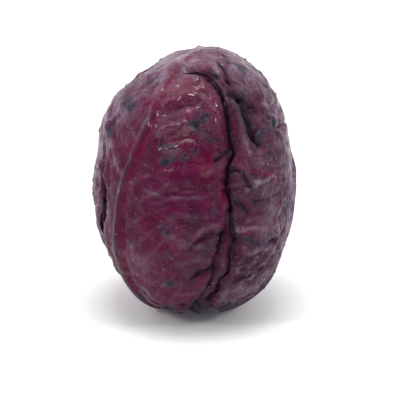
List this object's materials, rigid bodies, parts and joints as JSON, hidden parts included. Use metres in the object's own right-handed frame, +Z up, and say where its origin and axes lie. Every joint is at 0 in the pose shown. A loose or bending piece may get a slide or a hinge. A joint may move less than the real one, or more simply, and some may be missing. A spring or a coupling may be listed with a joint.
{
  "type": "red cabbage head",
  "caption": "Egg-shaped head of red cabbage: overlapping wrapper leaves with midribs, folded round a tight heart on a cut stump it rests on.",
  "frame": {"origin": "centre of the flat cut across the stump, on the stem's axis, where the head rests", "axes": "+Z up the stem towards the top of the head; -Y is the side of the front leaf, +X is the right of someone who looks at that side"},
  "size_m": [0.1429, 0.1418, 0.1842],
  "materials": {
    "leaf": "satin",
    "heart": "satin",
    "stump": "matt"
  },
  "bodies": {
    "root": {"left_leaf": "leaf", "right_leaf": "leaf", "front_leaf": "leaf", "back_leaf": "leaf", "seam_leaf": "leaf", "sixth_leaf": "leaf", "seventh_leaf": "leaf", "eighth_leaf": "leaf", "ninth_leaf": "leaf", "tenth_leaf": "leaf", "eleventh_leaf": "leaf", "twelfth_leaf": "leaf", "heart": "heart", "stump": "stump"}
  },
  "joints": []
}
